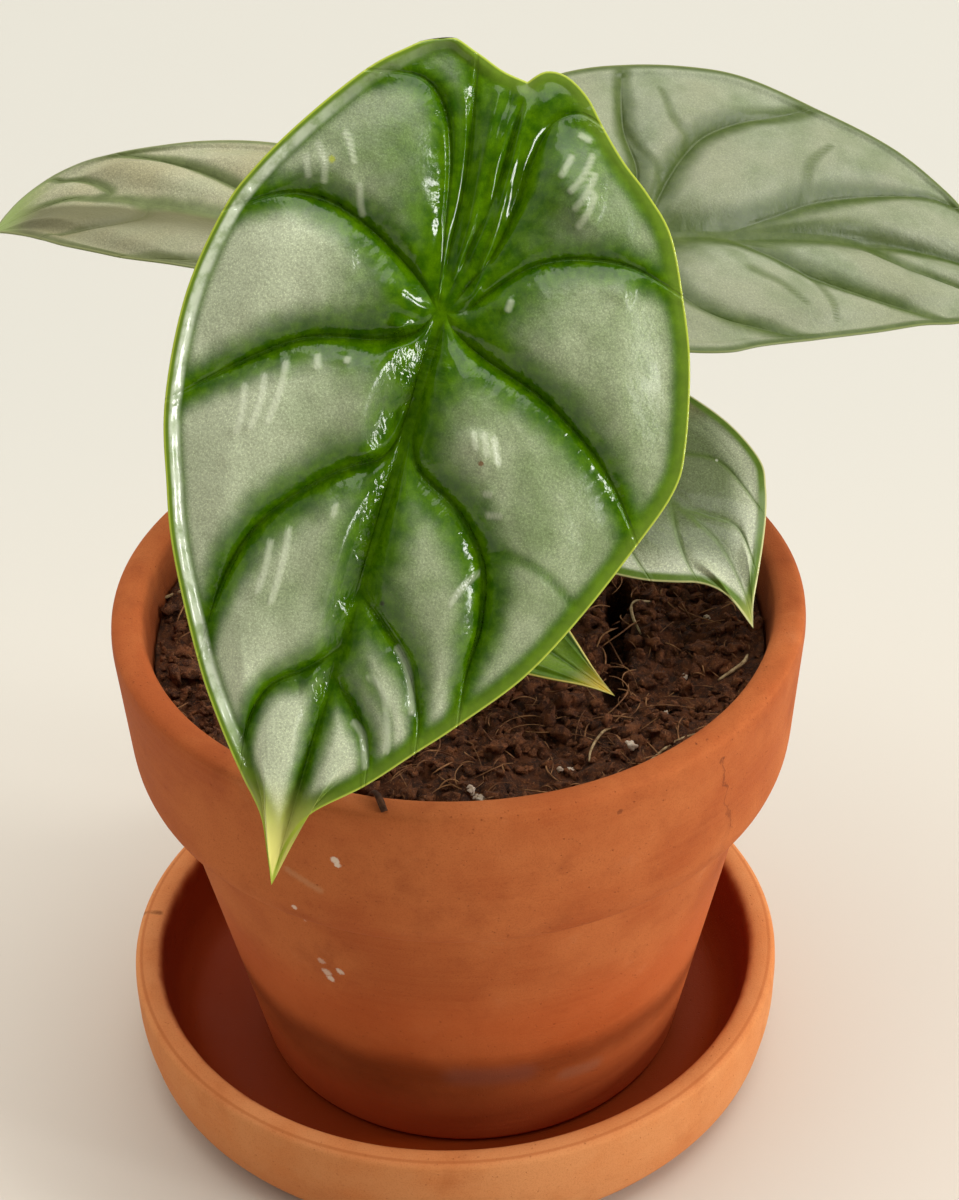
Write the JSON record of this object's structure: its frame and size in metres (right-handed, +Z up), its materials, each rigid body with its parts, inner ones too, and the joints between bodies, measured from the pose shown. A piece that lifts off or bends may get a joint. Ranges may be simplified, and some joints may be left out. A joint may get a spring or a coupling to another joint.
{
  "type": "potted silver dragon alocasia",
  "caption": "Alocasia plant with quilted shield-shaped silver-green leaves on slim stalks, growing in a filled terracotta pot that stands in a drip saucer.",
  "frame": {"origin": "middle of the saucer's flat underside, on the surface that it stands on", "axes": "+Z up; -Y is the front, where the big leaf hangs over the pot's rim; +X to the right seen from the front"},
  "size_m": [0.1841, 0.1327, 0.2091],
  "materials": {
    "saucer_clay": "unglazed orange terracotta, matte, darker and damp inside",
    "terracotta": "unglazed terracotta, matte, with lime specks and a damp foot",
    "soil": "moist dark coco and peat mix with perlite grains and pale roots",
    "crown": "short corm top with dry sheath scales",
    "leaf_glossy": "fresh leaf, silvery green panels, dark green veins, glossy and wet-looking",
    "leaf_silver": "older leaf, matte grey-silver with duller green veins",
    "leaf_young": "young leaf, green turning yellow and orange at the tip, satin",
    "stalk": "light green leaf stalk with faint brown mottling, satin"
  },
  "bodies": {
    "root": {"saucer": "saucer_clay", "pot": "terracotta", "soil": "soil", "crown": "crown", "leaf_front_blade": "leaf_glossy", "leaf_right_blade": "leaf_silver", "leaf_left_blade": "leaf_silver", "leaf_lower_blade": "leaf_silver", "leaf_small_blade": "leaf_young", "leaf_front_stem": "stalk", "leaf_right_stem": "stalk", "leaf_left_stem": "stalk", "leaf_lower_stem": "stalk", "leaf_small_stem": "stalk"}
  },
  "joints": []
}
